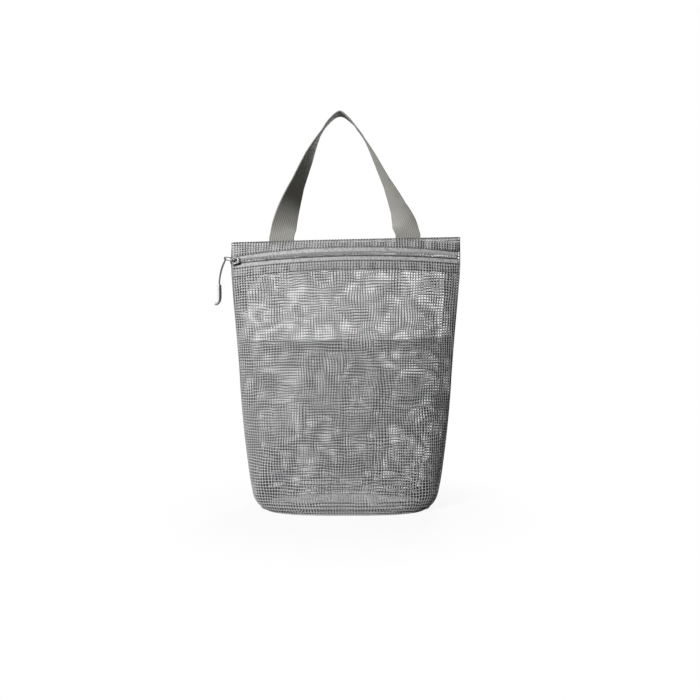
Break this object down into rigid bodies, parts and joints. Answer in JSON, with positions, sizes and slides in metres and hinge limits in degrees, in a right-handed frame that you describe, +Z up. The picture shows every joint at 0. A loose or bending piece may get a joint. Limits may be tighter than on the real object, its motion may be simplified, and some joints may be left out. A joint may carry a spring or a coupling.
{
  "type": "mesh toiletry bag",
  "caption": "Soft upright wash bag of open coated net with a flat oval base, a zip across its face, a webbing loop handle and an inner net pocket.",
  "frame": {"origin": "on the ground, under the middle of the bag's flat base", "axes": "+Z up, +X to the right seen from the front, and the zip and front face -Y"},
  "size_m": [0.2435, 0.0924, 0.3957],
  "materials": {
    "net": "square open net of grey coated yarn, satin",
    "zip_tape": "light grey woven tape, matte",
    "zip_coil": "grey moulded coil, semi-gloss",
    "slider_metal": "bright silver plating",
    "cord": "dark grey braided cord",
    "grip": "grey moulded end, one side darker",
    "webbing": "ribbed warm grey webbing, matte"
  },
  "bodies": {
    "bag": {"front_panel": "net", "back_panel": "net", "top_band": "net", "base_panel": "net", "base_seam_allowance": "net", "left_seam_allowance": "net", "right_seam_allowance": "net", "pocket_panel": "net", "zipper_tape_upper": "zip_tape", "zipper_tape_lower": "zip_tape", "zipper_coil_upper": "zip_coil", "zipper_coil_lower": "zip_coil", "handle_end_left": "webbing", "handle_end_right": "webbing"},
    "handle": {"handle_loop": "webbing"},
    "slider": {"slider_body": "slider_metal"},
    "bail": {"slider_bail": "slider_metal"},
    "pull": {"pull_cord": "cord", "pull_grip": "grip"}
  },
  "joints": [
    {"name": "handle_swing", "type": "hinge", "parent": "bag", "child": "handle", "pos_m": [0, -0.00015, 0.2696], "axis": [0.9997, 0, 0.0235], "range_deg": [-100, 100]},
    {"name": "zipper_travel", "type": "hinge", "parent": "bag", "child": "slider", "pos_m": [0.00269, 0.46804, 0.12074], "axis": [-0.0209, 0.2567, 0.9663], "range_deg": [0, 25.4], "deforming": ["zipper_coil_upper", "zipper_coil_lower"]},
    {"name": "bail_flip", "type": "hinge", "parent": "slider", "child": "bail", "pos_m": [-0.1109, -0.00676, 0.24439], "axis": [-0.0209, 0.2567, 0.9663], "range_deg": [-25, 95]},
    {"name": "pull_swing", "type": "hinge", "parent": "bail", "child": "pull", "pos_m": [-0.11859, -0.01058, 0.24524], "axis": [-0.4533, 0.859, -0.238], "range_deg": [-10, 85]}
  ]
}
